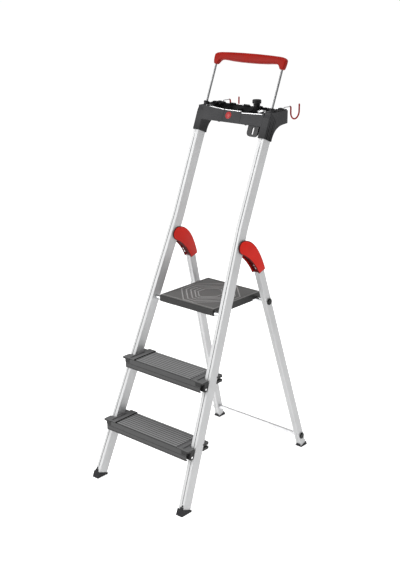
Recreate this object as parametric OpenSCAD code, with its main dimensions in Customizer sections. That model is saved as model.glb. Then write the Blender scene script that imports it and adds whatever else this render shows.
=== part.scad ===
// Folding aluminium step stool: two treads, a fold-up platform, rear support legs,
// a tool tray across the top and a pull-out hand rail. Millimetres, +Z up, front towards -Y.

/* [Overall] */
// Rise from one tread to the next, and from the floor to the first
step_rise = 225; // [215:5:235]
// Half width of the front frame at the floor, over its rails
front_half_w = 223.5; // [215:0.5:235]
// Half width of the front frame above its bend, over its rails
top_half_w = 163.5; // [160:0.5:168]
// Lean of the front rails from the vertical, in degrees
front_lean = 22; // [21:0.5:23]
// Lean of the rear legs from the vertical, in degrees
rear_lean = 17; // [16:0.5:18]

/* [Rails and legs] */
// Width of a front rail, across the stool
rail_w = 23; // [22:0.5:24]
// Depth of a front rail, front to back
rail_d = 40; // [38:1:42]
// Width of a rear leg, across the stool
leg_w = 24; // [22:0.5:25]
// Depth of a rear leg, front to back
leg_d = 30; // [28:1:32]
// Wall of the extruded rails and legs
wall = 1.6; // [1.2:0.1:2]
// Distance along the rail from the floor to its bend
bend_at = 1030; // [1020:5:1060]
// Distance along the rail from the floor to the fold pivot
pivot_at = 967; // [955:1:980]
// Gap from the fold pivot to the front face of the rear leg
leg_offset = 57; // [55:1:60]

/* [Treads] */
// Depth of a tread
tread_d = 116; // [108:2:120]
// How far a tread stands out in front of the rails
tread_nose = 39; // [36:1:42]
// Height of the front lip of a tread
tread_lip = 38; // [34:1:40]
// Number of ribs on a tread
tread_ribs = 8; // [8:1:16]

/* [Platform] */
// Half width of the platform
deck_half_w = 128; // [120:1:130]
// Depth of the platform
deck_d = 277; // [270:1:280]
// Thickness of the platform over its skirt
deck_h = 27; // [25:1:29]
// Number of rings in the platform's tread pattern
deck_rings = 5; // [4:1:8]

/* [Tray and hand rail] */
// Height of the tray's rim above the floor
tray_top = 1342; // [1335:1:1350]
// Depth of the tray, front to back
tray_d = 104; // [100:1:110]
// How far the hand rail slides down
rail_travel = 140; // [100:5:140]
// Diameter of the hand rail's rods
rod_dia = 8; // [7:0.5:9]
// Diameter of the wire of the bucket hooks
wire_dia = 4; // [3:0.5:5]

/* [Hidden] */
$fn = 48;

alloy = [0.80, 0.81, 0.82];
steel = [0.70, 0.71, 0.72];
black = [0.10, 0.10, 0.11];
charcoal = [0.22, 0.22, 0.23];
red = [0.80, 0.10, 0.07];

fit = 0.05;          // radial gap of a shaft in its bore
gap = 0.4;           // gap between parts that pass each other
side_splay = atan((front_half_w - top_half_w) / bend_at);
leg_slope = 0.0575;  // outward splay of a rear leg for each unit of its length
fold_angle = front_lean + rear_lean;
deck_angle = 90 - front_lean;

// The fold pivot, on the centre line of the front rails
pivot_y = rail_d / 2 * cos(front_lean) + pivot_at * sin(front_lean);
pivot_z = pivot_at * cos(front_lean) - rail_d / 2 * sin(front_lean);
hinge_pin_r = 5;
bush_r = 8;

// The rear legs, in their own frame: origin on the pivot, +Z up the leg, +Y to the rear
leg_top = -92;
leg_mid = leg_offset + leg_d / 2;
leg_foot = (4 - pivot_z - leg_offset * sin(rear_lean)) / cos(rear_lean);
leg_half_w = 170.5;  // over the legs, at the height of the pivot
leg_splay = atan(leg_slope);

// The platform and the two tubes that carry it
deck_top = 3 * step_rise;
tube_r = 8;
axle_z = deck_top - 18;
axle_at = (axle_z + rail_d / 2 * sin(front_lean)) / cos(front_lean);
axle_y = rail_d / 2 * cos(front_lean) + axle_at * sin(front_lean);
rest_z = deck_top - 23;
rest_at = (rest_z - pivot_z - leg_mid * sin(rear_lean)) / cos(rear_lean);
rest_y = pivot_y + leg_mid * cos(rear_lean) - rest_at * sin(rear_lean);
deck_front = axle_y - 12;
deck_skin = 4.5;
deck_wall = 3;
brace_at = leg_foot + 42;

// The tray
tray_front = tray_top * tan(front_lean) - 4;
tray_half_w = top_half_w + 2.6;
tray_floor = tray_top - 30;
tray_wall = 3;
sleeve_at = 1355;    // bottom of the tray's sleeves, along the rail
rail_end = 1425;     // top of a front rail, along the rail
rod_x = top_half_w - rail_w / 2;
rod_y = rail_d / 2;
boss_top = 1463;     // top of the rod bosses, along the rail

// The hand rail
grip_at = 1610;      // bottom of the grip's sockets, along the rail
rod_end = 1290;      // lower end of the rods, along the rail

// The bucket hooks, in the plane x = hook_x
hook_x = 142;
hook_pin_y = tray_front + tray_d + 7;
hook_z = tray_top + 6;
hook_reach = 44;     // straight wire from the pin to the hook
hook_bend = 26;      // radius of the hook's bend
sleeve_r = wire_dia / 2 + 1;

// The middle of the whole part, front to back, which is its origin
foot_front = -4;
heel_back = 749;   // the heels of the rear feet reach as far back as the hooks do
mid_y = (foot_front + heel_back) / 2;

// ---- Frames ----

module placed() { translate([0, -mid_y, 0]) children(); }
module on_rails() { placed() rotate([-front_lean, 0, 0]) children(); }
module on_legs() { placed() translate([0, pivot_y, pivot_z]) rotate([rear_lean, 0, 0]) children(); }
// side is 1 for the right-hand one, at +X, and -1 for its mirror image
module sided(side) { mirror([side < 0 ? 1 : 0, 0, 0]) children(); }

// ---- Shared shapes ----

// Hollow box section with its outer face on x = 0, and a groove down its front and back faces
module box_section(w, d, groove) {
    c = 1.5;
    g0 = -w * 0.47;
    g1 = g0 + 1.6;
    difference() {
        polygon([[-w + c, 0], [g0, 0], [g0, groove], [g1, groove], [g1, 0], [-c, 0], [0, c], [0, d - c], [-c, d],
            [g1, d], [g1, d - groove], [g0, d - groove], [g0, d], [-w + c, d], [-w, d - c], [-w, c]]);
        translate([-w + wall, wall + groove]) square([w - 2 * wall, d - 2 * (wall + groove)]);
    }
}

module along_x(x, y, z, r, length) { translate([x, y, z]) rotate([0, 90, 0]) cylinder(r = r, h = length); }

module domed_rivet(r, h) {
    rotate_extrude() intersection() {
        translate([0, h - 1.6 * r]) circle(1.6 * r);
        square([r, h]);
    }
    translate([0, 0, -3]) cylinder(r = r * 0.55, h = 3.01);
}

// Space that a front rail fills, grown by g
module rail_space(g) {
    translate([top_half_w, 0, bend_at]) {
        translate([-rail_w - g, -g, 0]) cube([rail_w + 2 * g, rail_d + 2 * g, 500]);
        rotate([0, -side_splay, 0]) translate([-rail_w - g, -g, -1100]) cube([rail_w + 2 * g, rail_d + 2 * g, 1100]);
    }
}

// ---- Front frame ----

foot_cut = (7 + rail_d * sin(front_lean)) / cos(front_lean);

function rail_half_at(along) = top_half_w + max(0, bend_at - along) * tan(side_splay);

// A band that follows a rail round its bend, from in to out measured inwards from the rail's outer face
module rail_band(in, out, y0, y1, z0, z1) {
    translate([0, y1, 0]) rotate([90, 0, 0]) linear_extrude(y1 - y0) polygon([
        [rail_half_at(z0) - in, z0], [rail_half_at(z0) - out, z0], [top_half_w - out, bend_at],
        [top_half_w - out, z1], [top_half_w - in, z1], [top_half_w - in, bend_at]]);
}

module front_rail(side) {
    color(alloy) on_rails() sided(side) difference() {
        rail_band(0, rail_w, 0, rail_d, foot_cut, rail_end);
        rail_band(wall, rail_w - wall, wall + 1.2, rail_d - wall - 1.2, foot_cut - 5, rail_end + 5);
        rail_band(rail_w * 0.47 - 1.6, rail_w * 0.47, -1, 1.2, foot_cut - 5, rail_end + 5);
        rail_band(rail_w * 0.47 - 1.6, rail_w * 0.47, rail_d - 1.2, rail_d + 1, foot_cut - 5, rail_end + 5);
        along_x(100, rail_d / 2, pivot_at, bush_r + fit, 100);
        along_x(100, rail_d / 2, axle_at, tube_r + fit, top_half_w - 100);
        translate([215, -1, foot_cut + 12]) rotate([-90, 0, 0]) cylinder(r = 2.2, h = 6);
        translate([rod_x, -1, sleeve_at - 12]) rotate([-90, 0, 0]) cylinder(r = 2.2, h = 6);
    }
}

module front_foot(side) {
    inner = front_half_w - rail_w;
    color(black) on_rails() sided(side) difference() {
        union() {
            intersection() {
                translate([inner - 3.3, -3, -20]) cube([rail_w + 6, rail_d + 7, foot_cut + 19.8]);
                rotate([front_lean, 0, 0]) translate([150, foot_front, 0]) cube([100, 80, 60]);
            }
            translate([208, -3, foot_cut - 1]) cube([13, 2.7, 9]);
            translate([inner - 1 + wall + 1, wall + 2, foot_cut - 1])
                cube([rail_w - 2 * wall - 3.5, rail_d - 2 * wall - 4, 24]);
        }
        for (i = [0 : 3]) rotate([front_lean, 0, 0]) translate([150, 6 + i * 10, -0.01]) cube([100, 3, 1.4]);
        translate([215, -4, foot_cut + 12]) rotate([-90, 0, 0]) cylinder(r = 2.25, h = 4);
    }
}

module front_foot_rivets() {
    color(steel) on_rails() for (side = [-1, 1]) sided(side)
        translate([215, -0.05, foot_cut + 12]) rotate([90, 0, 0]) domed_rivet(3.6, 1.6);
}

// ---- Treads ----

function front_line(z) = z * tan(front_lean);
function half_w_at(z) = front_half_w - (front_half_w - top_half_w) * z / (bend_at * cos(front_lean));
cap_overlap = 30;   // how far a cap reaches in over the end of its tread
tread_t = 2.4;

// Section of a tread, x to the rear and y up, with its top at y = 0
module tread_section() {
    rib_pitch = (tread_d - 16) / tread_ribs;
    translate([0, -tread_t]) square([tread_d, tread_t - 0.8]);
    translate([0, -tread_lip]) square([tread_t, tread_lip - 0.8]);
    translate([0, -tread_lip]) square([8, 2]);
    translate([tread_d - tread_t, -26]) square([tread_t, 25.2]);
    translate([tread_d - 8, -26]) square([8, 2]);
    for (i = [0 : tread_ribs]) translate([6 + i * rib_pitch, -0.9]) square([rib_pitch * 0.7, 0.9]);
}

// The tread runs in front of both rails, and is notched behind its nose to pass between them
module tread(level) {
    z = level * step_rise;
    half = half_w_at(z) - 13;
    edge = half_w_at(z) - rail_w - 3;
    color(charcoal) placed() difference() {
        translate([-half, front_line(z) - tread_nose, z])
            rotate([90, 0, 90]) linear_extrude(2 * half) tread_section();
        for (side = [-1, 1]) sided(side) {
            translate([edge, front_line(z) - tread_nose + 9, z - 60]) cube([60, 200, 70]);
            // above the front lip the end cap takes over
            translate([edge - 8, front_line(z) - tread_nose - 1, z - 17]) cube([60, 11, 30]);
        }
    }
}

// Section of a step cap's side wall, from its nose to its heel
module step_cap(level, side) {
    z = level * step_rise;
    outer = half_w_at(z) - 0.5;
    edge = half_w_at(z) - rail_w - 3;
    inner = edge - cap_overlap;
    skin = 2.4;
    d = tread_d + 1.5;
    color(black) placed() sided(side) difference() {
        translate([0, front_line(z) - tread_nose, z]) {
            // top plate over the tread's end, with a bead along its inner edge
            translate([inner, 0, 0.1]) cube([edge - inner + 3, d, skin - 0.1]);
            translate([inner, 0, 0.1]) cube([3, d, skin + 0.8]);
            // ridge beside the rail
            translate([edge - 9, 8, skin - 0.1]) cube([5, d - 44, 3.6]);
            // tongue in front of the rail
            translate([edge - 7.9, -1.5, -5]) cube([outer - edge + 7.9, 10.4, skin + 5]);
            translate([edge - 7.9, 0.4, -16.9]) cube([outer - edge - 2, 8.5, 12]);
            translate([edge + 0.3, 8, -5]) cube([outer - edge - 0.3, 24.5, skin + 5]);
            // side wall between the tread's end and the rail
            translate([edge + 0.3, 12, -tread_lip + 2]) cube([outer - edge - 2.3, 21, tread_lip - 2]);
            translate([outer - 12, 12, -tread_lip + 2]) cube([12, 20, tread_lip - 2]);
            translate([edge + 0.3, 12, -28]) cube([3, d - 22, 28]);
            // two prongs behind the rail
            translate([edge + 0.3, d - 40, -8]) cube([outer - edge - 0.3, 30, skin + 8]);
            translate([edge + 0.3, d - 40, -25]) cube([outer - edge - 0.3, 30, 10]);
        }
        rotate([-front_lean, 0, 0]) rail_space(gap / 2);
        // hole of the rivet
        translate([outer - 8, front_line(z) - tread_nose + 20, z - tread_lip + 11]) rotate([0, 90, 0])
            cylinder(r = 2.6, h = 12);
    }
}

module step_rivets() {
    color(alloy) placed() for (level = [1, 2], side = [-1, 1]) sided(side)
        translate([half_w_at(level * step_rise) - 0.45, front_line(level * step_rise) - tread_nose + 20,
            level * step_rise - tread_lip + 11])
            rotate([0, 90, 0]) domed_rivet(4.4, 1.6);
}

// ---- Tray ----

// Side view of the tray, x to the rear and y up
function tray_outline() =
    let (f = tray_front, back = tray_front + tray_d, low = tray_top - 46)
    let (sc = cos(front_lean), ss = sin(front_lean))
    let (nose = [-3.2 * sc + sleeve_at * ss, 3.2 * ss + sleeve_at * sc])
    let (heel = [(rail_d + 3.6) * sc + sleeve_at * ss, -(rail_d + 3.6) * ss + sleeve_at * sc])
    concat([nose, [f - 7, tray_top - 17], [f + 5, tray_top], [back, tray_top], [back, low]],
        [for (i = [0 : 8]) let (t = i / 8, a = [back - 34, low - 3], b = [heel[0] + 14, low - 10])
            (1 - t) * (1 - t) * a + 2 * t * (1 - t) * b + t * t * heel]);

module side_plate(x, thick) {
    translate([x, 0, 0]) rotate([90, 0, 90]) linear_extrude(thick) polygon(tray_outline());
}

module tray_end() {
    inner = top_half_w - rail_w - tray_wall;
    difference() {
        side_plate(inner, tray_half_w - inner);
        // the tray's own space, between the sleeve and the back wall
        translate([inner - 1, rail_line_y() , tray_floor]) cube([tray_half_w - tray_wall - inner + 1, tray_d, 60]);
        translate([inner - 1, rail_line_y(), tray_floor - 60]) cube([tray_half_w - tray_wall - inner + 1, 200, 60 - tray_wall]);
        rotate([-front_lean, 0, 0]) intersection() {
            rail_space(0.15);
            translate([0, -10, 1000]) cube([300, 80, rail_end - 1000 + 1]);
        }
        for (y = [0 : 1]) rotate([-front_lean, 0, 0]) translate([tray_half_w - 1, 9 + y * 18, sleeve_at - 10])
            cube([5, 5, 120]);
    }
}

// Rear side of the sleeve, at the tray's floor
function rail_line_y() = tray_front + rail_d + 14;

module tray_box() {
    depth = tray_d;
    f = tray_front;
    difference() {
        translate([-tray_half_w, f, tray_floor - tray_wall])
            cube([2 * tray_half_w, depth, tray_top - tray_floor + tray_wall]);
        translate([-top_half_w + rail_w + 8, f + tray_wall, tray_floor])
            cube([2 * (top_half_w - rail_w - 8), depth - 2 * tray_wall, 60]);
        for (side = [-1, 1]) sided(side) {
            translate([top_half_w - rail_w - 9, rail_line_y(), tray_floor]) cube([rail_w + 10, depth - 58 - tray_wall, 60]);
            rotate([-front_lean, 0, 0]) intersection() {
                rail_space(0.15);
                translate([0, -10, 1000]) cube([300, 80, rail_end - 1000 + 1]);
            }
        }
        translate([-200, f - 60, tray_floor - 10])
            rotate([-front_lean, 0, 0]) translate([0, 60 - 40.5, -100]) cube([400, 22, 200]);
    }
    // the compartments' dividers
    for (x = [-95, -40, 20]) translate([x, f + 30, tray_floor - 1]) cube([2.5, depth - 31, 19]);
    translate([-95, f + 30, tray_floor - 1]) cube([117, 2.5, 19]);
}

module front_beam() {
    half = top_half_w - rail_w;
    beam = 50;
    rotate([-front_lean, 0, 0]) {
        top = tray_top * cos(front_lean) + tray_front * sin(front_lean);
        translate([-half, -4, top - beam - 1]) cube([2 * half, tray_wall, beam + 1]);
        for (x = [-1, 1]) translate([x * 62 - 1.5, -2, top - beam - 1]) cube([3, 14, 16]);
    }
}

module tool_tray() {
    color(black) placed() difference() {
        union() {
            tray_box();
            front_beam();
            for (side = [-1, 1]) sided(side) {
                tray_end();
                rotate([-front_lean, 0, 0]) translate([rod_x, rod_y, boss_top - 34]) cylinder(r = 9.5, h = 34);
                // socket of the bucket hook's pin
                translate([hook_x, hook_pin_y, tray_top - 34]) cylinder(r = 6, h = 34);
                translate([hook_x - 5, hook_pin_y - 10, tray_top - 34]) cube([10, 10, 34]);
            }
        }
        for (side = [-1, 1]) sided(side) {
            rotate([-front_lean, 0, 0]) translate([rod_x, rod_y, rail_end - 20]) cylinder(r = rod_dia / 2 + 0.1, h = 80);
            translate([hook_x, hook_pin_y, tray_top - 30]) cylinder(r = wire_dia / 2 + fit, h = 40);
        }
        // stepped top edge of the front
        translate([0, tray_front + 3.05, 0]) rotate([90, 0, 0]) linear_extrude(24) polygon([[-112, tray_top + 1],
            [-112, tray_top], [-39, tray_top - 5], [39, tray_top - 5], [39, tray_top - 10], [132, tray_top - 6],
            [132, tray_top + 1]]);
        // seat of the badge
        rotate([-front_lean, 0, 0]) translate([badge_x, -5, badge_at]) rotate([-90, 0, 0]) cylinder(r = 13.2, h = 2.2);
        // seat of the tool rack
        translate([rack_x + 1, rack_y + 1, tray_floor - 10]) cube([rack_w - 2, rack_d - 2, 20]);
        // seat of the post's foot
        translate([post_x, post_y, tray_floor - 10]) cylinder(r = 3.2, h = 20);
    }
}

badge_x = -16;
badge_at = tray_top * cos(front_lean) + tray_front * sin(front_lean) - 25;
post_x = 47;
post_y = tray_front + 76;
rack_x = 72;
rack_y = tray_front + 60;
rack_w = 60;
rack_d = 34;
rack_hole_r = [4.5, 6, 7.5];

module tray_rivets() {
    color(steel) on_rails() for (side = [-1, 1]) sided(side)
        translate([rod_x, -0.05, sleeve_at - 12]) rotate([90, 0, 0]) domed_rivet(3.6, 1.6);
}

module tray_badge() {
    color(red) on_rails() translate([badge_x, -2.85, badge_at]) rotate([90, 0, 0]) rotate_extrude() intersection() {
        translate([0, -36]) circle(39.6, $fn = 240);
        square([13, 6]);
    }
}

module tool_post() {
    h = 60;
    color(black) placed() translate([post_x, post_y, tray_floor + 0.05]) rotate_extrude() {
        square([15.5, 30]);
        square([12.5, h]);
        translate([0, h - 13]) square([16.5, 11]);
        translate([0, h - 2.1]) square([14.5, 2.1]);
        translate([0, -2.8]) square([3, 3]);
    }
}

module tool_loop() {
    w = 48; h = 40; t = 7; top = badge_at - 24.3;
    color(black) on_rails() translate([82, -0.6, top - h]) difference() {
        union() {
            translate([0, 0, 15]) cube([w, t, h - 15]);
            translate([15, 0, 0]) cube([w - 30, t, h]);
            for (x = [15, w - 15]) translate([x, t, 15]) rotate([90, 0, 0]) cylinder(r = 15, h = t);
        }
        translate([w / 2 - 5, -1, 8]) cube([10, t + 2, 25]);
        translate([4, 3, 9]) cube([9, t, h]);
        translate([w - 13, 3, 9]) cube([9, t, h]);
    }
}

module tool_rack() {
    color(charcoal) placed() difference() {
        union() {
            translate([rack_x - 2, rack_y - 2, tray_floor + 0.05]) cube([rack_w + 4, rack_d + 4, 12]);
            translate([rack_x + 1.2, rack_y + 1.2, tray_floor - 3]) cube([rack_w - 2.4, rack_d - 2.4, 4]);
        }
        for (i = [0 : 2]) translate([rack_x + 10 + i * 20, rack_y + rack_d / 2, tray_floor - 10])
            cylinder(r = rack_hole_r[i], h = 40);
    }
}

module rod_guide(side) {
    color(black) on_rails() sided(side) difference() {
        translate([rod_x - rail_w / 2 + wall + 0.2, wall + 1.4, rail_end - 66])
            cube([rail_w - 2 * wall - 0.4, rail_d - 2 * wall - 2.8, 60]);
        translate([rod_x, rod_y, rail_end - 70]) cylinder(r = rod_dia / 2 + 0.08, h = 70);
    }
}

// ---- Platform carriers ----

module tube_across(half, y, z, r, t) {
    difference() {
        along_x(-half, y, z, r, 2 * half);
        along_x(-half - 1, y, z, r - t, 2 * half + 2);
    }
}

function leg_half_at(along) = leg_half_w - leg_slope * along;

module platform_axle() {
    color(steel) on_rails() tube_across(rail_half_at(axle_at) - rail_w + 2.6, rail_d / 2, axle_at, tube_r, 1.5);
}

module hinge_bush(side) {
    outer = rail_half_at(pivot_at);
    color(black) on_rails() sided(side) difference() {
        along_x(outer - rail_w - 0.1, rail_d / 2, pivot_at, bush_r, rail_w);
        along_x(outer - rail_w - 10, rail_d / 2, pivot_at, hinge_pin_r + fit, rail_w + 20);
    }
}

// ---- Rear frame ----

module rear_leg(side) {
    color(alloy) on_legs() sided(side) difference() {
        translate([leg_half_w, leg_offset, 0]) rotate([0, -leg_splay, 0]) translate([0, 0, leg_foot - 20])
            linear_extrude(leg_top - leg_foot + 20) box_section(leg_w, leg_d, 1);
        translate([100, 0, leg_foot - 100]) cube([200, 200, 100]);
        along_x(100, leg_mid, rest_at, tube_r + fit, 200);
        along_x(100, leg_mid, brace_at, tube_r + fit, 200);
        along_x(100, leg_mid, shell_rivet, 3, 200);
    }
}

module rear_foot(side) {
    outer = leg_half_at(leg_foot);
    color(black) on_legs() sided(side) difference() {
        union() {
            intersection() {
                translate([outer - leg_w - 2.4, leg_offset - 3, leg_foot - 30]) cube([leg_w + 5, leg_d + 6, 29.8]);
                rotate([-rear_lean, 0, 0]) translate([100, 0, -pivot_z]) cube([200, 500, 60]);
            }
            // the toe that turns up in front of the leg, and the heel behind it
            translate([outer - leg_w + 3, leg_offset - 3, leg_foot - 1]) cube([leg_w - 6, 2.6, 9]);
            translate([outer - leg_w + 3, leg_offset + leg_d + 0.4, leg_foot - 1]) cube([leg_w - 6, 2.6, 12]);
            translate([outer - leg_w + wall + 2, leg_offset + wall + 1.6, leg_foot - 1])
                cube([leg_w - 2 * wall - 3.6, leg_d - 2 * wall - 3.2, 20]);
        }
        for (i = [0 : 2]) rotate([-rear_lean, 0, 0]) translate([100, rear_sole_y + 5 + i * 9, -pivot_z - 0.01])
            cube([200, 3, 1.4]);
    }
}
rear_sole_y = leg_offset * cos(rear_lean) - leg_foot * sin(rear_lean);

module platform_rest_tube() {
    color(steel) on_legs() tube_across(leg_half_at(rest_at) + 0.6, leg_mid, rest_at, tube_r, 1.5);
}

module brace_tube() {
    color(alloy) on_legs() tube_across(leg_half_at(brace_at) + 0.6, leg_mid, brace_at, tube_r, 1.5);
}

// Push-in caps that close the ends of a tube, outside the legs
module tube_caps(along) {
    color(black) on_legs() for (side = [-1, 1]) sided(side)
        translate([leg_half_at(along) + 1.4, leg_mid, along]) rotate([0, 90, 0]) {
            cylinder(r = 12.5, h = 2.4);
            translate([0, 0, 2.39]) cylinder(r1 = 12.5, r2 = 10.5, h = 1.8);
            translate([0, 0, -12]) cylinder(r = tube_r - 1.5 - fit, h = 12.01);
        }
}

// ---- Fold hinges ----

shell_in = 139.6;
shell_split = 158;
shell_out = 173.8;
shell_low = -140;
shell_rivet = leg_top - 24;

function curve(p0, p1, p2, n) =
    [for (i = [0 : n]) let (t = i / n) (1 - t) * (1 - t) * p0 + 2 * t * (1 - t) * p1 + t * t * p2];

// Side view of a hinge shell, x to the rear and y up the leg, with the pivot at the origin
module hinge_profile() {
    front = leg_offset - 4.5;
    back = leg_offset + leg_d + 5;
    head = [8.5, -7.5];
    head_r = 25.5;
    over = head + head_r * [sin(24), cos(24)];
    under = head + head_r * [sin(232), cos(232)];
    round_head = [for (a = [238 : 6 : 378]) head + head_r * [sin(a), cos(a)]];
    polygon(concat(round_head, curve(over, [back - 6, -8], [back, shell_low + 3], 14), [[back - 3, shell_low],
        [front + 3, shell_low]], curve([front, shell_low + 3], [front - 13, -68], under, 14)));
}

// Leans a shape outwards as the legs and the lower ends of the rails do
module splayed() {
    translate([leg_half_w, 0, 0]) rotate([0, -leg_splay, 0]) translate([-leg_half_w, 0, 0]) children();
}

module hinge_solid(x0, x1) {
    splayed() translate([x0, 0, 0]) rotate([90, 0, 90]) linear_extrude(x1 - x0) hinge_profile();
}

// What the shells leave room for: the rail in the fork, the leg and the pin
module hinge_room() {
    x0 = rail_half_at(pivot_at) - rail_w - 1.2;
    x1 = rail_half_at(pivot_at) + 1.2;
    splayed() {
        translate([x0, -60, -250]) cube([x1 - x0, 60 + 24, 350]);
        translate([x0, -60, -4]) cube([x1 - x0, 160, 100]);
        translate([leg_half_w - leg_w - 0.2, leg_offset - 0.2, -200])
            cube([leg_w + 0.4, leg_d + 0.4, 200 + leg_top + 0.3]);
        translate([shell_in - 10, -100, -300]) cube([13.5, 300, 300 - 62]);
    }
    along_x(shell_in + 1.2, 0, 0, hinge_pin_r + fit, shell_out - shell_in - 3);
}

module hinge_shell(side, outer) {
    color(red) on_legs() sided(side) difference() {
        hinge_solid(outer ? shell_split : shell_in, outer ? shell_out : shell_split - 0.1);
        hinge_room();
        along_x(shell_in, leg_mid, shell_rivet, 3, shell_out + 4 - shell_in);
    }
}

module hinge_pin(side) {
    color(steel) on_legs() sided(side)
        along_x(shell_in + 1.3, 0, 0, hinge_pin_r, shell_out - shell_in - 3.2);
}

module hinge_rivets() {
    color(steel) on_legs() for (side = [-1, 1]) sided(side)
        along_x(150.5, leg_mid, shell_rivet, 2.9, 26.5);
}

// ---- Platform ----

// An octagon of half size [x, y] with its corners cut by c
function octagon(x, y, c) = [[-x + c, -y], [x - c, -y], [x, -y + c], [x, y - c], [x - c, y], [-x + c, y],
    [-x, y - c], [-x, -y + c]];

module deck_ring(i) {
    x = deck_half_w - 12 - i * 17;
    y = deck_d / 2 - 12 - i * 17;
    cut = min(90 - i * 10, x - 9);
    linear_extrude(0.9) difference() {
        polygon(octagon(x, y, cut));
        polygon(octagon(x - 6, y - 6, cut - 2.5));
    }
}

// Side view of the platform, with its rounded front and rear edges
module deck_side() {
    function corner(c, r, from) = [for (a = [from : 15 : from + 90]) c + r * [cos(a), sin(a)]];
    polygon(concat(corner([8, -8], 8, 90), corner([5, -deck_h + 5], 5, 180),
        corner([deck_d - 2, -deck_h + 2], 2, 270), corner([deck_d - 5, -5], 5, 0)));
}

module platform_deck() {
    color(charcoal) placed() translate([0, deck_front, deck_top]) difference() {
        union() {
            difference() {
                translate([-deck_half_w, 0, 0]) rotate([90, 0, 90]) linear_extrude(2 * deck_half_w) deck_side();
                translate([-deck_half_w + deck_wall, deck_wall, -deck_h - 1])
                    cube([2 * (deck_half_w - deck_wall), deck_d - 2 * deck_wall, deck_h + 1 - deck_skin]);
                translate([-deck_half_w + 8, 10, -0.9]) cube([2 * deck_half_w - 16, deck_d - 18, 2]);
            }
            for (i = [0 : deck_rings - 1]) translate([0, deck_d / 2, -0.9]) deck_ring(i);
            for (x = [-84, -42, 0, 42, 84]) translate([x - 1.2, 46, -20]) cube([2.4, deck_d - 90, 16]);
            for (y = [70, 140, 200]) translate([-deck_half_w + 1, y, -18]) cube([2 * deck_half_w - 2, 2.4, 14]);
        }
        // slots for the axle at the front and for the rest tube at the rear
        along_x(-200, axle_y - deck_front, axle_z - deck_top, tube_r + 0.5, 400);
        along_x(-200, rest_y - deck_front, rest_z - deck_top, tube_r + 0.6, 400);
        translate([-200, rest_y - deck_front - tube_r - 14, -60]) cube([400, 2 * tube_r + 14.6, 60 + rest_z - deck_top]);
    }
}

sleeve_x = [-100, 70];
module platform_sleeves() {
    color(black) placed() for (x = sleeve_x) difference() {
        union() {
            along_x(x, axle_y, axle_z, tube_r + 4, 30);
            translate([x, axle_y - 8.5, axle_z]) cube([30, 40, deck_top - deck_skin - axle_z - 0.05]);
        }
        along_x(x - 1, axle_y, axle_z, tube_r + fit, 32);
        translate([x - 1, deck_front - 10, deck_top - 60]) cube([32, 10.1 + deck_wall, 60]);
    }
}

// Snap-down saddles under the rear of the platform. The front wall is short, so the tube can leave forwards.
module platform_clips() {
    color(black) placed() for (x = [-90, 60]) difference() {
        translate([x, rest_y - tube_r - 3, rest_z - 6]) cube([30, 2 * tube_r + 7, deck_top - deck_skin - rest_z + 5.95]);
        along_x(x - 1, rest_y, rest_z, tube_r + 0.4, 32);
        translate([x - 1, rest_y - 40, rest_z - 20]) cube([32, 40, 24.5]);
        translate([x - 1, rest_y - tube_r - 0.4, rest_z - 20]) cube([32, 2 * tube_r + 0.8, 20]);
    }
}

module platform_screws() {
    color(steel) placed() for (x = sleeve_x, dx = [8, 22])
        translate([x + dx, axle_y + 24, axle_z - 1.2]) { cylinder(r = 3.5, h = 1.15); }
}

// ---- Hand rail ----

// Front view of the grip from the middle of one end to the other, x outwards and y up the rods
grip_half = [[0, 14], [60, 15], [118, 18], [134, 15], [141, 8], [144, 0], [159, 0], [163.5, 26], [163, 35],
    [158, 41], [146, 44], [80, 47], [0, 48]];
grip_outline = concat(grip_half, [for (i = [len(grip_half) - 2 : -1 : 1]) [-grip_half[i][0], grip_half[i][1]]]);

module hand_grip() {
    depth = 22;
    color(red) on_rails() difference() {
        translate([0, rod_y + depth / 2, grip_at]) rotate([90, 0, 0]) linear_extrude(depth) polygon(grip_outline);
        for (x = [-1, 1]) translate([x * rod_x, rod_y, grip_at - 1]) cylinder(r = rod_dia / 2 + fit, h = 31);
    }
}

module hand_rod(side) {
    color(steel) on_rails() sided(side) translate([rod_x, rod_y, rod_end]) cylinder(r = rod_dia / 2, h = grip_at + 29 - rod_end);
}

// Collars on the rods' lower ends, which stop the hand rail at its guides
module rod_stops() {
    color(black) on_rails() for (side = [-1, 1]) sided(side) difference() {
        translate([rod_x, rod_y, rod_end + 2]) cylinder(r = 8, h = rail_end - 66 - rod_end - 2.5);
        translate([rod_x, rod_y, rod_end]) cylinder(r = rod_dia / 2 + fit, h = 200);
    }
}

// ---- Bucket hooks ----

hook_corner = 6;
module bend(r, wire_r, angle) { rotate_extrude(angle = angle) translate([r, 0]) circle(wire_r); }

// Pin in the tray, a corner, the straight reach, and the bend down into the sleeve
module hook_wire(side) {
    r = wire_dia / 2;
    color(steel) placed() sided(side) translate([hook_x, hook_pin_y, 0]) {
        translate([0, 0, tray_top - 28]) cylinder(r = r, h = hook_z - hook_corner - tray_top + 28.01);
        translate([0, hook_corner, hook_z - hook_corner]) rotate([0, -90, 0]) bend(hook_corner, r, -90);
        translate([0, hook_corner - 0.01, hook_z]) rotate([-90, 0, 0]) cylinder(r = r, h = hook_reach - 2 * hook_corner);
    }
}

// The red dipped hook: down, round its bend and up to a rounded tip
module hook_sleeve(side) {
    down = 16;
    up = 24;
    color(red) placed() sided(side) translate([hook_x, hook_pin_y + hook_reach, hook_z - hook_corner]) {
        translate([0, -hook_corner, 0]) rotate([0, -90, 0]) bend(hook_corner, sleeve_r, 90);
        translate([0, 0, -down]) cylinder(r = sleeve_r, h = down + 0.01);
        translate([0, hook_bend, -down]) rotate([0, -90, 0]) rotate([0, 0, 90]) bend(hook_bend, sleeve_r, 180);
        translate([0, 2 * hook_bend, -down - 0.01]) cylinder(r = sleeve_r, h = up);
        translate([0, 2 * hook_bend, -down - 0.01 + up]) sphere(sleeve_r);
    }
}

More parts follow.
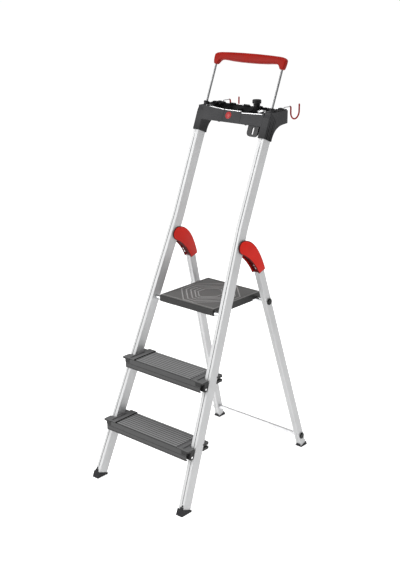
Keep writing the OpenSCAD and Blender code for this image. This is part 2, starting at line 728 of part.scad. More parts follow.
front_rail(-1);  // front_rail_left
front_rail(1);  // front_rail_right
front_foot(-1);  // front_foot_left
front_foot(1);  // front_foot_right
front_foot_rivets();
tread(1);  // tread_lower
tread(2);  // tread_middle
step_cap(1, -1);  // step_cap_lower_left
step_cap(1, 1);  // step_cap_lower_right
step_cap(2, -1);  // step_cap_middle_left
step_cap(2, 1);  // step_cap_middle_right
step_rivets();
tool_tray();
tray_rivets();
tray_badge();
tool_post();
tool_loop();
tool_rack();
rod_guide(-1);  // rod_guide_left
rod_guide(1);  // rod_guide_right
platform_axle();
hinge_bush(-1);  // hinge_bush_left
hinge_bush(1);  // hinge_bush_right
rear_leg(-1);  // rear_leg_left
rear_leg(1);  // rear_leg_right
rear_foot(-1);  // rear_foot_left
rear_foot(1);  // rear_foot_right
platform_rest_tube();
brace_tube();
tube_caps(rest_at);  // rest_tube_caps
tube_caps(brace_at);  // brace_tube_caps
hinge_shell(-1, true);  // hinge_shell_outer_left
hinge_shell(1, true);  // hinge_shell_outer_right
hinge_shell(-1, false);  // hinge_shell_inner_left
hinge_shell(1, false);  // hinge_shell_inner_right
hinge_pin(-1);  // hinge_pin_left
hinge_pin(1);  // hinge_pin_right
hinge_rivets();
platform_deck();
platform_sleeves();
platform_clips();
platform_screws();
hand_grip();
hand_rod(-1);  // hand_rod_left
hand_rod(1);  // hand_rod_right
rod_stops();
hook_wire(-1);  // hook_wire_left
hook_wire(1);  // hook_wire_right
hook_sleeve(-1);  // hook_sleeve_left
hook_sleeve(1);  // hook_sleeve_right
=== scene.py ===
"""The looks of a folding aluminium step stool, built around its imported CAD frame.

Front towards -Y, +Z up, metres. Sizes below are the CAD model's own, in millimetres.
"""
import math

import bmesh
import bpy
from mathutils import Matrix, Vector


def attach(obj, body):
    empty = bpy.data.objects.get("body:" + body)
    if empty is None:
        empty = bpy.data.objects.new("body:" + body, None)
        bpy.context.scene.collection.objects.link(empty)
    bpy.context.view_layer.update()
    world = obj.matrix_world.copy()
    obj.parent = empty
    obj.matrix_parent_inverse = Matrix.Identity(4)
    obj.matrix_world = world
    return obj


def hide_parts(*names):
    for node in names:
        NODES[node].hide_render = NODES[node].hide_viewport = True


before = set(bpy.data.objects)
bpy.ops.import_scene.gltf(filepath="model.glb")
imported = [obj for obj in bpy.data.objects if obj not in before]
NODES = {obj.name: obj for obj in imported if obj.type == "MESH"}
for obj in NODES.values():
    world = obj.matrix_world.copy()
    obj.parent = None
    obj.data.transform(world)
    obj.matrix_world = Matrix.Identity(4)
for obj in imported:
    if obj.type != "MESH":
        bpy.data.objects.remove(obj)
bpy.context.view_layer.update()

# ---------------------------------------------------------------- the CAD model's frames

MID_Y = 372.5
LEAN, REAR = math.radians(22), math.radians(17)
SL, CL, SR, CR = math.sin(LEAN), math.cos(LEAN), math.sin(REAR), math.cos(REAR)
RAIL_MID, PIVOT_AT = 20, 967          # middle of the rails' depth, and the fold pivot along them
PIVOT_Y = RAIL_MID * CL + PIVOT_AT * SL
PIVOT_Z = PIVOT_AT * CL - RAIL_MID * SL
LEG_TOP_HALF, LEG_SLOPE = 170.5, 0.0575
RISE, DECK_TOP = 225.0, 675.0
PLATFORM_MID = 275.0 + 138.5          # y of the platform's middle
FOOT_HALF, TOP_HALF, RAIL_W, BEND = 223.5, 163.5, 23.0, 1030.0
GROOVE_AT = RAIL_W * 0.47             # the groove's inner edge, in from a rail's outer face
TRAY_TOP, TRAY_FRONT, TRAY_BACK = 1342.0, 538.2, 642.2
ROD_X, GRIP_AT = 152, 1610
HOOK_X, HOOK_PIN, HOOK_GAP = 142.0, 7, 2.6      # the pin's place, and the clamp's gap around it


def W(x, y, z):
    """A point in the CAD's upright frame, with y from the front of the rails at the floor."""
    return Vector((x, y - MID_Y, z)) / 1000


def R(x, p, a):
    """A point on the front rails: p behind their front face, a along them from the floor."""
    return W(x, p * CL + a * SL, a * CL - p * SL)


def G(x, q, u):
    """A point on the rear legs: q behind and u up the leg from the fold pivot."""
    return W(x, PIVOT_Y + q * CR - u * SR, PIVOT_Z + q * SR + u * CR)


# ---------------------------------------------------------------- camera, floor and lights

def camera():
    data = bpy.data.cameras.new("camera")
    data.lens, data.sensor_width, data.clip_end = 65.5, 36, 60
    cam = bpy.data.objects.new("camera", data)
    cam.location = W(2369.2, -2375.5, 1898.7)
    cam.rotation_euler = (math.radians(90 - 18.07), 0, math.radians(40.96))
    bpy.context.collection.objects.link(cam)
    bpy.context.scene.camera = cam


def area(name, loc, aim, size, power):
    data = bpy.data.lights.new(name, "AREA")
    data.shape, data.size, data.energy = "DISK", size, power
    lamp = bpy.data.objects.new(name, data)
    lamp.location = loc
    lamp.rotation_euler = (Vector(aim) - Vector(loc)).to_track_quat("-Z", "Y").to_euler()
    bpy.context.collection.objects.link(lamp)


def studio():
    bpy.context.scene.view_settings.view_transform = "Standard"
    world = bpy.data.worlds.new("studio")
    bpy.context.scene.world = world
    world.use_nodes = True
    world.node_tree.nodes["Background"].inputs[0].default_value = (1, 1, 1, 1)
    world.node_tree.nodes["Background"].inputs[1].default_value = 0.30
    area("key", (-2.6, -3.4, 3.2), (0, 0, 0.7), 2.2, 70)
    area("low", (-2.0, -3.2, 0.9), (0, -0.1, 0.15), 1.6, 26)
    area("top", (0.2, -0.3, 4.6), (0, 0, 0.6), 3.0, 110)
    area("rim", (0.6, 3.5, 3.2), (0, 0, 0.8), 2.0, 15)
    bm = bmesh.new()
    for x, y in ((-60, -60), (60, -60), (60, 60), (-60, 60)):
        bm.verts.new((x, y, -0.0005))
    bm.faces.new(bm.verts)
    mesh = bpy.data.meshes.new("studio_floor")
    bm.to_mesh(mesh)
    floor = bpy.data.objects.new("studio_floor", mesh)
    bpy.context.collection.objects.link(floor)
    mat = bpy.data.materials.new("studio_white")
    mat.use_nodes = True
    b = mat.node_tree.nodes["Principled BSDF"]
    b.inputs["Base Color"].default_value = (0.9, 0.9, 0.9, 1)
    b.inputs["Roughness"].default_value = 0.9
    b.inputs["Emission Color"].default_value = (1, 1, 1, 1)
    b.inputs["Emission Strength"].default_value = 0.75
    floor.data.materials.append(mat)


# ---------------------------------------------------------------- materials

class Mat:
    """A Principled material with helpers that chain its procedural nodes."""

    def __init__(self, name, color, rough, metallic=0.0, spec=0.5, coat=0.0):
        self.mat = bpy.data.materials.new(name)
        self.mat.use_nodes = True
        self.t = self.mat.node_tree
        self.b = self.t.nodes["Principled BSDF"]
        self.color, self.rough = color, rough
        self.b.inputs["Base Color"].default_value = (*color, 1)
        self.b.inputs["Roughness"].default_value = rough
        self.b.inputs["Metallic"].default_value = metallic
        self.b.inputs["Specular IOR Level"].default_value = spec
        self.b.inputs["Coat Weight"].default_value = coat
        self.b.inputs["Coat Roughness"].default_value = 0.25
        self.bumped = None

    def node(self, kind, **inputs):
        n = self.t.nodes.new(kind)
        for k, v in inputs.items():
            n.inputs[k.replace("_", " ")].default_value = v
        return n

    def coords(self, scale, rotation=(0, 0, 0)):
        c = self.node("ShaderNodeTexCoord")
        m = self.node("ShaderNodeMapping")
        m.vector_type = "TEXTURE"
        m.inputs["Rotation"].default_value = rotation
        m.inputs["Scale"].default_value = [1 / s for s in scale]
        self.t.links.new(c.outputs["Object"], m.inputs["Vector"])
        return m.outputs["Vector"]

    def noise(self, scale, detail=4.0, rough=0.55, rotation=(0, 0, 0)):
        scale = scale if isinstance(scale, (tuple, list)) else (scale,) * 3
        n = self.node("ShaderNodeTexNoise", Scale=1.0, Detail=detail, Roughness=rough)
        self.t.links.new(self.coords(scale, rotation), n.inputs["Vector"])
        return n.outputs["Fac"]

    def ramp(self, fac, stops):
        r = self.node("ShaderNodeValToRGB")
        e = r.color_ramp.elements
        while len(e) < len(stops):
            e.new(0.5)
        for k, (at, c) in zip(e, stops):
            k.position = at
            k.color = (c, c, c, 1) if isinstance(c, float) else (*c, 1)
        self.t.links.new(fac, r.inputs["Fac"])
        return r.outputs["Color"]

    def tint(self, fac, low, high, at=(0.3, 0.7)):
        """Colour that wanders between low and high times the base colour."""
        stops = [(a, tuple(min(1.0, c * k) for c in self.color)) for a, k in zip(at, (low, high))]
        self.t.links.new(self.ramp(fac, stops), self.b.inputs["Base Color"])
        return self

    def gloss(self, fac, low, high, at=(0.3, 0.7)):
        self.t.links.new(self.ramp(fac, [(at[0], low), (at[1], high)]), self.b.inputs["Roughness"])
        return self

    def up(self):
        """The height of a point above the floor, in metres."""
        c = self.node("ShaderNodeTexCoord")
        z = self.node("ShaderNodeSeparateXYZ")
        self.t.links.new(c.outputs["Object"], z.inputs[0])
        return z.outputs["Z"]

    def height(self, period, low, high):
        """How far up from low to high a point is, in mm from the nearest multiple of period."""
        a = self.node("ShaderNodeMath")
        a.inputs[1].default_value = period / 2000
        self.t.links.new(self.up(), a.inputs[0])
        m = self.node("ShaderNodeMath")
        m.operation = "MODULO"
        m.inputs[1].default_value = period / 1000
        self.t.links.new(a.outputs[0], m.inputs[0])
        r = self.node("ShaderNodeMapRange")
        r.inputs["From Min"].default_value = (period / 2 + low) / 1000
        r.inputs["From Max"].default_value = (period / 2 + high) / 1000
        self.t.links.new(m.outputs[0], r.inputs["Value"])
        return r.outputs["Result"]

    def bump(self, fac, strength, distance):
        n = self.node("ShaderNodeBump", Strength=strength, Distance=distance)
        self.t.links.new(fac, n.inputs["Height"])
        if self.bumped:
            self.t.links.new(self.bumped, n.inputs["Normal"])
        self.bumped = n.outputs["Normal"]
        self.t.links.new(self.bumped, self.b.inputs["Normal"])
        return self


def extruded(name, color, rough, metallic, lean):
    """Anodised extrusion: fine die lines along the profile and soft handling marks."""
    m = Mat(name, color, rough, metallic)
    lines = m.noise((900, 900, 3.5), 3, 0.6, (lean, 0, 0))
    marks = m.noise(9, 5)
    m.tint(marks, 0.95, 1.04)
    m.gloss(lines, rough - 0.08, rough + 0.1)
    m.bump(lines, 0.08, 0.0002)
    return m


def moulded(name, color, rough, grain=1400, depth=0.35, coat=0.0, spec=0.22, vary=0.06):
    """Moulded plastic: a fine spark-eroded grain, flow clouding and slight rubbing."""
    m = Mat(name, color, rough, 0.0, spec, coat)
    fine = m.noise(grain, 2, 0.5)
    cloud = m.noise(14, 6, 0.6)
    m.tint(cloud, 1 - vary, 1 + 2 * vary)
    m.gloss(cloud, rough - 0.06, rough + 0.08)
    m.bump(fine, depth, 0.00012)
    m.bump(m.noise(60, 3), 0.08, 0.0006)
    return m


def painted_low_shade(name, color, rough, z0, z1, low, grain):
    """Moulded plastic with painted shade: darker below z0 than above z1, in mm up from the floor."""
    m = moulded(name, color, rough, grain, 0.18)
    r = m.node("ShaderNodeMapRange", From_Min=z0 / 1000, From_Max=z1 / 1000)
    m.t.links.new(m.up(), r.inputs["Value"])
    m.tint(r.outputs["Result"], low, 1.0, (0.0, 1.0))
    return m


def bright(name, color, rough, lean, along):
    """Bare or plated metal: drawn lines along one direction and slight clouding."""
    m = Mat(name, color, rough, 1.0)
    lines = m.noise(along, 3, 0.6, (lean, 0, 0))
    m.tint(m.noise(25, 4), 0.9, 1.05)
    m.gloss(lines, max(0.04, rough - 0.08), rough + 0.1)
    m.bump(lines, 0.06, 0.00015)
    return m


def top_lit_ribbed(name, color, rough, lines, period, low, high, valley_shade):
    """A dull film over ribs, with painted light: lighter on their tops, with painted shade between them and
    on every face below the top.
    """
    m = Mat(name, color, rough, 0.1, 0.3)
    m.tint(m.height(period, low, high), valley_shade, 1.0, (0.2, 0.9))
    m.gloss(m.noise(lines, 3, 0.6), rough - 0.07, rough + 0.09)
    m.bump(m.noise(700, 3, 0.5), 0.25, 0.00015)
    return m


M = {
    "rail": extruded("rail_aluminium", (0.53, 0.533, 0.537), 0.42, 0.25, -LEAN),
    "leg": extruded("leg_aluminium", (0.53, 0.533, 0.537), 0.44, 0.25, REAR),
    # painted shade for the rails' grooves
    "groove": moulded("rail_groove_shade_strip_shade", (0.03, 0.03, 0.03), 0.6),
    "brace": bright("brace_aluminium", (0.80, 0.80, 0.81), 0.5, 0, (6, 500, 500)),
    "tube": bright("tube_zinc", (0.62, 0.63, 0.64), 0.24, 0, (6, 500, 500)),
    "foot": moulded("foot_rubber", (0.018, 0.018, 0.020), 0.62, 900, 0.5, 0, 0.2, 0.12),
    # tread, deck and caps: painted light on their tops, painted shade in the rib valleys and on the faces
    # below
    "tread": top_lit_ribbed("tread_coating", (0.26, 0.26, 0.262), 0.40, (2.5, 700, 700), 225.0, -0.7, -0.15, 0.20),
    "deck": top_lit_ribbed("deck_plastic", (0.12, 0.119, 0.117), 0.42, (400, 400, 400), 675.0, -2.2, -1.2, 0.15),
    "ridge": moulded("deck_ridge_plastic", (0.30, 0.298, 0.295), 0.38, 900, 0.2),
    "cap": top_lit_ribbed("cap_plastic", (0.14, 0.14, 0.142), 0.45, (500, 500, 500), 225.0, 0.8, 2.0, 0.10),
    # tray: painted shade, darker towards the lower ends of its legs
    "tray": painted_low_shade("tray_plastic", (0.031, 0.031, 0.033), 0.46, 1262, 1300, 0.35, 1100),
    "fitting": moulded("tray_fitting_plastic", (0.012, 0.012, 0.013), 0.30),
    "bearing": moulded("bearing_plastic", (0.010, 0.010, 0.010), 0.4),
    "plug": moulded("plug_plastic", (0.006, 0.006, 0.006), 0.4),
    "red": moulded("hinge_plastic", (0.62, 0.010, 0.002), 0.38, 1300, 0.15, 0.0, 0.13),
    # painted shade for the hinge covers' rounded edges and underside
    "red_edge_shade": moulded("hinge_edge_shade_plastic", (0.07, 0.001, 0.001), 0.42, 1300, 0.3, 0.0, 0.15),
    "grip": moulded("grip_plastic", (0.25, 0.005, 0.001), 0.42, 1000, 0.18, 0.0, 0.13),
    "sleeve": moulded("sleeve_plastic", (0.24, 0.003, 0.002), 0.32, 700, 0.08, 0.0, 0.16),
    "badge": moulded("badge_plastic", (0.34, 0.030, 0.030), 0.25, 900, 0.1, 0.15),
    "rivet": bright("rivet_steel", (0.80, 0.80, 0.81), 0.2, 0, (300, 300, 300)),
    "screw": bright("fastener_steel", (0.60, 0.60, 0.61), 0.3, 0, (300, 300, 300)),
    "rod": bright("rod_chrome", (0.33, 0.335, 0.34), 0.30, -LEAN, (300, 300, 6)),
    "wire": bright("wire_steel", (0.42, 0.425, 0.43), 0.2, 0, (500, 10, 500)),
    "silver": bright("tray_rim_silver", (0.80, 0.80, 0.81), 0.28, 0, (8, 600, 600)),
}

CAD_LOOK = {
    "front_rail": "rail", "rear_leg": "leg", "brace_tube": "brace", "platform_axle": "tube",
    "platform_rest_tube": "tube", "front_foot": "foot", "rear_foot": "foot", "tread": "tread",
    "step_cap": "cap", "tool_tray": "tray", "tool_post": "fitting", "tool_loop": "fitting",
    "tool_rack": "fitting", "rod_guide": "bearing", "hinge_bush": "bearing", "rod_stops": "bearing",
    "rest_tube_caps": "plug", "brace_tube_caps": "plug", "hinge_shell": "red", "hinge_pin": "screw",
    "hinge_rivets": "rivet", "front_foot_rivets": "foot", "step_rivets": "rivet",
    "tray_rivets": "rivet", "platform_screws": "screw", "platform_deck": "deck",
    "platform_sleeves": "bearing", "platform_clips": "bearing", "hand_grip": "grip",
    "hand_rod": "rod", "hook_wire": "wire", "hook_sleeve": "sleeve", "tray_badge": "badge",
}
BEVEL = {
    "front_rail": 1.2, "rear_leg": 1.2, "front_foot": 1.2, "rear_foot": 1.2, "tread": 0.35,
    "step_cap": 0.7, "tool_tray": 0.8, "tool_post": 0.8, "tool_loop": 0.8, "tool_rack": 0.6,
    "platform_clips": 0.5, "platform_sleeves": 0.5, "rest_tube_caps": 0.5, "brace_tube_caps": 0.5,
}


def longest(table, name):
    keys = [k for k in table if name.startswith(k)]
    return table[max(keys, key=len)] if keys else None


def dress_cad():
    for name, obj in NODES.items():
        obj.data.materials.clear()
        obj.data.materials.append(M[longest(CAD_LOOK, name)].mat)
        width = longest(BEVEL, name)
        if width:
            b = obj.modifiers.new("rounded_edges", "BEVEL")
            b.width, b.segments, b.limit_method = width / 1000, 2, "ANGLE"
            b.angle_limit, b.harden_normals = math.radians(35), False


# ---------------------------------------------------------------- mesh helpers

def finish_piece(name, bm, body, look, nodes=(), sharp=34, rim=None):
    """Turns a bmesh into a piece that rides on a body, smooth except where it creases."""
    bmesh.ops.recalc_face_normals(bm, faces=bm.faces)
    limit = math.radians(sharp)
    for face in bm.faces:
        face.smooth = True
    for edge in bm.edges:
        edge.smooth = len(edge.link_faces) == 2 and edge.calc_face_angle(0) < limit
    mesh = bpy.data.meshes.new(name)
    bm.to_mesh(mesh)
    bm.free()
    mesh.materials.append(M[look].mat)
    if rim:
        mesh.materials.append(M[rim].mat)
    obj = bpy.data.objects.new(name, mesh)
    bpy.context.collection.objects.link(obj)
    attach(obj, body)
    if nodes:
        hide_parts(*nodes)
    return obj


def anticlockwise(points):
    area2 = sum(a[0] * b[1] - b[0] * a[1] for a, b in zip(points, points[1:] + points[:1]))
    return points if area2 > 0 else points[::-1]


def inset(points, d):
    """A closed outline moved inwards by d, with mitred corners."""
    out = []
    for i, p in enumerate(points):
        a, b = points[i - 1], points[(i + 1) % len(points)]
        e0 = Vector((p[0] - a[0], p[1] - a[1])).normalized()
        e1 = Vector((b[0] - p[0], b[1] - p[1])).normalized()
        n0, n1 = Vector((-e0.y, e0.x)), Vector((-e1.y, e1.x))
        m = (n0 + n1) / max(0.35, 1 + n0.dot(n1))
        out.append((p[0] + m.x * d, p[1] + m.y * d))
    return out


def skin(bm, lower, upper, look=0):
    """Quads between two loops of as many vertices."""
    for i in range(len(lower)):
        n = (i + 1) % len(lower)
        bm.faces.new((lower[i], lower[n], upper[n], upper[i])).material_index = look


def pillow(bm, outline, w0, w1, r, place, steps=3, low=True, high=True, rim=0):
    """An outline drawn out from w0 to w1, with its edges rounded to radius r on the chosen sides."""
    points = anticlockwise(outline)
    rings = []
    turns = [(0, k) for k in range(0 if low else steps, steps + 1)]
    turns += [(1, k) for k in range(steps, -1 if high else steps - 1, -1)]
    for side, k in turns:
        t = k / steps * math.pi / 2
        rise = r * (1 - math.cos(t))
        w = w0 + rise if side == 0 else w1 - rise
        if (side == 0 and not low) or (side == 1 and not high):
            w = w0 if side == 0 else w1
        rings.append([bm.verts.new(place(x, y, w)) for x, y in inset(points, r * (1 - math.sin(t)))])
    bm.faces.new(rings[0][::-1])
    bm.faces.new(rings[-1])
    for lower, upper in zip(rings, rings[1:]):
        skin(bm, lower, upper, rim)


def clipped(points, nx, ny, least):
    """The part of an outline with nx*x + ny*y >= least."""
    out = []
    for a, b in zip(points, points[1:] + points[:1]):
        da, db = nx * a[0] + ny * a[1] - least, nx * b[0] + ny * b[1] - least
        if da >= 0:
            out.append(a)
        if (da >= 0) != (db >= 0):
            t = da / (da - db)
            out.append((a[0] + (b[0] - a[0]) * t, a[1] + (b[1] - a[1]) * t))
    return out


def quad_curve(p0, p1, p2, n):
    return [tuple((1 - t) ** 2 * a + 2 * t * (1 - t) * b + t * t * c for a, b, c in zip(p0, p1, p2))
            for t in (i / n for i in range(n + 1))]


def rectangle(x0, y0, x1, y1):
    return [(x0, y0), (x1, y0), (x1, y1), (x0, y1)]


def turned(bm, place, profile, around=40):
    """A ring turned about the w axis of place, from the (radius, w) corners of its section."""
    rings = [[bm.verts.new(place(r * math.cos(a), r * math.sin(a), w))
              for a in (2 * math.pi * i / around for i in range(around))] for r, w in profile]
    for lower, upper in zip(rings, rings[1:] + rings[:1]):
        skin(bm, lower, upper)


# ---------------------------------------------------------------- hinge covers

SPLAY = math.atan(LEG_SLOPE)
HEAD, HEAD_R = (8.5, -7.5), 25.5


def around_head(turn):
    return (HEAD[0] + HEAD_R * math.sin(math.radians(turn)), HEAD[1] + HEAD_R * math.cos(math.radians(turn)))


def hinge_outline():
    return ([around_head(a) for a in range(238, 379, 6)]
            + quad_curve(around_head(24), (86, -8), (92, -137), 18) + [(89, -140), (55.5, -140)]
            + quad_curve((52.5, -137), (39.5, -68), around_head(232), 18))


def hinge_place(side):
    """Points of a cover: x across it before it is splayed, q behind and u up the leg."""
    def place(q, u, x):
        dx = x - LEG_TOP_HALF
        return G(side * (LEG_TOP_HALF + dx * math.cos(SPLAY) - u * math.sin(SPLAY)), q,
                 u * math.cos(SPLAY) + dx * math.sin(SPLAY))
    return place


def hinge_covers():
    """Two cheeks, a ribbed core between them and two latch marks, on each rear leg; their rounded edges and
    the core's underside are painted darker red as shade.
    """
    whole = hinge_outline()
    for side, word in ((-1, "left"), (1, "right")):
        place = hinge_place(side)
        bm = bmesh.new()
        pillow(bm, whole, 168.9, 173.8, 2.4, place, 4, rim=1)
        finish_piece("hinge_cover_outer_" + word, bm, "rear_frame", "red",
                     ["hinge_shell_outer_" + word], rim="red_edge_shade")
        bm = bmesh.new()
        pillow(bm, whole, 139.6, 143.0, 1.6, place, 3, rim=1)
        hollow = (quad_curve(around_head(24), (86, -8), (92, -137), 18) + [(89, -140), (58.5, -140)]
                + quad_curve((56.5, -137), (43.5, -68), (around_head(232)[0] + 4, around_head(232)[1]), 18))
        core = clipped(clipped(inset(anticlockwise(hollow), 0.5), 0.777, -0.629, 23.5), 1, 0, 25.0)
        pillow(bm, core, 143.1, 168.8, 0.6, place, 2, rim=1)
        # ribs of the underside, across the cover between its cheeks
        under = quad_curve((52.5, -137), (39.5, -68), around_head(232), 40)
        for i in range(3, 27, 3):
            (q0, u0), (q1, u1) = under[i], under[i + 1]
            d = Vector((q1 - q0, u1 - u0)).normalized()
            n = Vector((d.y, -d.x)) * 1.0
            quad = [(q0 + n.x * s + d.x * t, u0 + n.y * s + d.y * t) for s, t in
                    ((2.2, 0), (2.2, 1.6), (6.0, 1.6), (6.0, 0))]
            pillow(bm, quad, 146, 168.8, 0.3, place, 1, rim=1)
        finish_piece("hinge_cover_core_" + word, bm, "rear_frame", "red",
                     ["hinge_shell_inner_" + word], rim="red_edge_shade")
        bm = bmesh.new()
        for a, b in ((5, 8), (10, 12)):
            (q0, u0), (q1, u1) = under[a], under[b]
            mark = [(q0 + 1.4, u0 + 0.4), (q1 + 1.4, u1 + 0.4), (q1 + 4.5, u1 + 0.9), (q0 + 4.5, u0 + 0.9)]
            pillow(bm, mark, 162.5, 166.5, 0.4, place, 1)
        finish_piece("hinge_latch_" + word, bm, "rear_frame", "silver")


# ---------------------------------------------------------------- hand grip

# stations from the grip's middle to its end: x, its underside and top above GRIP_AT, half its depth
GRIP = [(0, 13.5, 48, 11.0), (40, 13.8, 47.8, 11.0), (80, 15.4, 47.0, 10.9), (104, 17.6, 46.2, 10.7),
        (120, 18.2, 45.4, 10.5), (130, 16.4, 45.0, 10.4), (136, 11.5, 44.7, 10.3), (140, 5.5, 44.4, 10.2),
        (143, 1.0, 44.1, 10.1), (144.6, -0.4, 43.9, 10.0), (151, -0.6, 42.8, 9.9), (157.5, -0.5, 40.8, 9.6),
        (159.2, 0.6, 39.8, 9.3), (160.6, 7, 38.6, 9.0), (162, 16, 37.4, 8.2), (163, 24, 36.0, 6.6),
        (163.5, 27, 34, 4.4)]
SQUARENESS = 3.6      # power of the rounded section, 2 for an ellipse


def grip():
    """The hand grip, lofted through its stations."""
    stations = [(-x, *rest) for x, *rest in GRIP[:0:-1]] + GRIP
    bm = bmesh.new()
    rings, around = [], 36
    for x, low, high, deep in stations:
        mid, half = (low + high) / 2, (high - low) / 2
        ring = []
        for i in range(around):
            a = 2 * math.pi * i / around
            c, d = math.cos(a), math.sin(a)
            reach = (abs(c) ** SQUARENESS + abs(d) ** SQUARENESS) ** (-1 / SQUARENESS)
            ring.append(bm.verts.new(R(x, RAIL_MID + deep * c * reach, GRIP_AT + mid + half * d * reach)))
        rings.append(ring)
    for lower, upper in zip(rings, rings[1:]):
        skin(bm, lower, upper)
    bm.faces.new(rings[0])
    bm.faces.new(rings[-1][::-1])
    finish_piece("hand_grip_cover", bm, "hand_rail", "grip", ["hand_grip"], sharp=70)


# ---------------------------------------------------------------- platform

def octagon(x, y, c):
    """A rectangle 2x by 2y with its corners cut off by c."""
    return [(-x + c, -y), (x - c, -y), (x, -y + c), (x, y - c),
            (x - c, y), (-x + c, y), (-x, y - c), (-x, -y + c)]


def ridge(bm, outline, width, z0, z1, place):
    """A closed ridge of rounded section that follows an outline."""
    points = anticlockwise(outline)
    section = [(0, z0), (0.25 * width, z1), (0.75 * width, z1), (width, z0)]
    rings = [[bm.verts.new(place(x, y, z)) for x, y in inset(points, d)] for d, z in section]
    for lower, upper in zip(rings, rings[1:] + rings[:1]):
        skin(bm, lower, upper)


def platform_pattern():
    """Light ridges on the deck: nested octagons inside a rectangle."""
    def place(x, y, z):
        return W(x, PLATFORM_MID + y, DECK_TOP + z)

    bm = bmesh.new()
    for i in range(5):
        x, y = 116 - i * 17, 126.5 - i * 17
        ridge(bm, inset(anticlockwise(octagon(x, y, min(90 - i * 10, x - 9))), -0.3), 6.6, -0.95, 0.3, place)
    ridge(bm, rectangle(-126.5, -131.0, 126.5, 136.0), 3.4, -0.95, 0.25, place)
    finish_piece("platform_ridges", bm, "platform", "ridge")


# ---------------------------------------------------------------- tray

def tray_details():
    """The silver rim, and the clips, clamps, teeth and rod collars on the tray."""
    top, front, back = TRAY_TOP, TRAY_FRONT, TRAY_BACK
    bm = bmesh.new()
    for x0, x1, z0, z1 in ((-112, -41, 0, -5), (-37, 37, -5, -5), (41, 132, -10, -6)):
        def place(x, y, z, a=x0, b=x1, p=z0, q=z1):
            drop = p + (q - p) * (x - a) / (b - a)
            return W(x, y + drop * math.tan(LEAN), z + drop)

        pillow(bm, rectangle(x0, front - 1.0, x1, front + 3.2), top - 1.0, top + 1.1, 0.5, place, 2)
    for x0, y0, x1, y1 in ((-137, front + 8, -133.5, front + 40), (133.5, front + 8, 137, front + 52),
                           (-60, back - 3.4, -34, back - 0.6), (-4, back - 3.4, 26, back - 0.6),
                           (66, back - 3.4, 126, back - 0.6)):
        pillow(bm, rectangle(x0, y0, x1, y1), top - 1.0, top + 1.1, 0.5, W, 2)
    # ring around the round hole
    section = [(11, top - 12), (16, top - 12), (16, top - 1), (15, top), (12, top), (11, top - 1)]
    turned(bm, lambda a, b, w: W(101 + a, front + 34 + b, w), section, 32)
    finish_piece("tray_rim", bm, "front_frame", "silver")

    bm = bmesh.new()
    # clips on the left arm and along the rear wall
    for x, y in ((-152, front + 62), (-136, front + 66), (-119, front + 70)):
        pillow(bm, rectangle(x, y, x + 12, y + 12), top - 4, top + 9, 1.5, W, 3)
        pillow(bm, rectangle(x + 2, y - 12, x + 7, y + 2), top - 4, top + 5, 1.0, W, 2)
    for x in (-96, -30, 30):
        pillow(bm, rectangle(x, back - 9, x + 26, back - 3), top - 3, top + 4.5, 1.5, W, 3)
    for side in (-1, 1):
        # clamp of the bucket hook, open behind its pin
        slot = [(HOOK_X + HOOK_GAP * math.cos(a), back + HOOK_PIN + HOOK_GAP * math.sin(a))
                for a in (-math.pi * i / 8 for i in range(9))]
        clamp = ([(HOOK_X - 10, back + 13.5), (HOOK_X - 10, back - 6), (HOOK_X + 10, back - 6),
                  (HOOK_X + 10, back + 13.5), (HOOK_X + HOOK_GAP, back + 13.5)]
                 + slot + [(HOOK_X - HOOK_GAP, back + 13.5)])
        pillow(bm, [(side * x, y) for x, y in clamp], top - 14, top + 1.5, 1.0, W, 3)
        boss = rectangle(side * HOOK_X - 6, back - 20, side * HOOK_X + 6, back - 5)
        pillow(bm, boss, top - 6, top + 7.5, 2.0, W, 3)
        # teeth along the arm
        for y in (back - 66, back - 52, back - 38):
            pillow(bm, rectangle(side * 160 - 6, y, side * 160 + 6, y + 8), top - 2, top + 3.6, 1.0, W, 2)
        # collar of the sliding rod
        turned(bm, lambda a, b, w, s=side: R(s * ROD_X + a, RAIL_MID + b, w),
               [(5.2, 1461), (10.5, 1461), (11.5, 1463), (11.5, 1466), (9.5, 1468), (5.2, 1468)])
    finish_piece("tray_clips", bm, "front_frame", "fitting")


def half_at(a):
    """Half the width over the rails at a length along them."""
    return TOP_HALF + (FOOT_HALF - TOP_HALF) * max(0.0, 1 - a / BEND)


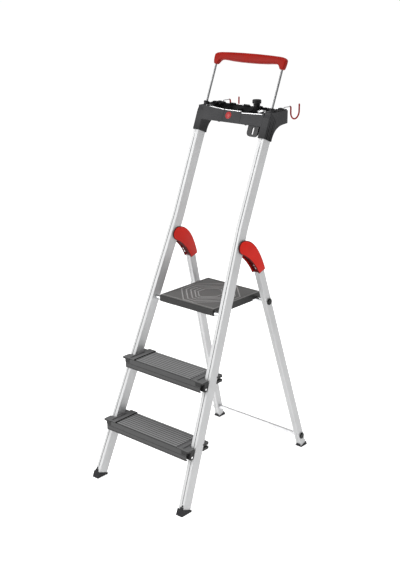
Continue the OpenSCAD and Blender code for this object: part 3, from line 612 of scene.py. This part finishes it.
def painted_groove_shade():
    """Dark strips over the grooves in the front and back faces of the rails, just proud of them: painted
    shade in the grooves.
    """
    for side, word in ((-1, "left"), (1, "right")):
        bm = bmesh.new()
        for p0, p1 in ((-0.12, 0.6), (39.4, 40.12)):
            left = [(half_at(a) - GROOVE_AT - 0.35, a) for a in (41, BEND, 1326)]
            right = [(half_at(a) - GROOVE_AT + 1.95, a) for a in (1326, BEND, 41)]
            pillow(bm, left + right, p0, p1, 0.05, lambda x, a, p, s=side: R(s * x, p, a), 1)
        finish_piece("rail_groove_shade_strip_" + word, bm, "front_frame", "groove")


def tray_ribs():
    """Upright ribs on the outside of the tray's legs, and the seam beside its front panel."""
    bm = bmesh.new()
    for side in (-1, 1):
        for p in (3.5, 12.0, 20.5, 29.0, 37.5):
            pillow(bm, rectangle(p, 1357, p + 1.7, 1448 - 0.35 * p), 165.6, 167.0, 0.5,
                   lambda q, a, x, s=side: R(s * x, q, a), 2, low=False)
    for x in (-41, 39.5):
        pillow(bm, rectangle(x, 1401, x + 1.5, 1440), -4.7, -3.6, 0.4,
               lambda a, b, w: R(a, w, b), 2, high=False)
    finish_piece("tray_ribs", bm, "front_frame", "tray")


def step_seams():
    """The dark joints between each tread and its end caps, and black strips of painted groove shade along
    its front lip.
    """
    bm = bmesh.new()
    for level in (1, 2):
        z = level * RISE
        half = FOOT_HALF - (FOOT_HALF - TOP_HALF) * z / (BEND * CL)
        edge, nose = half - RAIL_W - 3, z * math.tan(LEAN) - 39
        for side in (-1, 1):
            def flat(x, y, w, s=side):
                return W(s * x, y, w)
            joint = rectangle(edge - 32.2, nose - 0.6, edge - 30.2, nose + 116.5)
            pillow(bm, joint, z - 0.6, z + 3.6, 0.5, flat, 2)
            line = rectangle(edge - 8.2, nose + 8.6, edge - 6.8, nose + 78)
            pillow(bm, line, z + 2.2, z + 3.4, 0.3, flat, 1)
        # painted shade for the groove lines along the front lip
        for low, high in ((-20.5, -19.0), (-34.5, -33.0)):
            pillow(bm, rectangle(-half + 15, z + low, half - 15, z + high), nose - 0.35, nose + 0.5, 0.2,
                   lambda x, w, y: W(x, y, w), 1)
    finish_piece("step_seams", bm, "front_frame", "plug")


def build_pieces():
    step_seams()
    painted_groove_shade()
    tray_ribs()
    hinge_covers()
    grip()
    platform_pattern()
    tray_details()


camera()
studio()
dress_cad()
build_pieces()
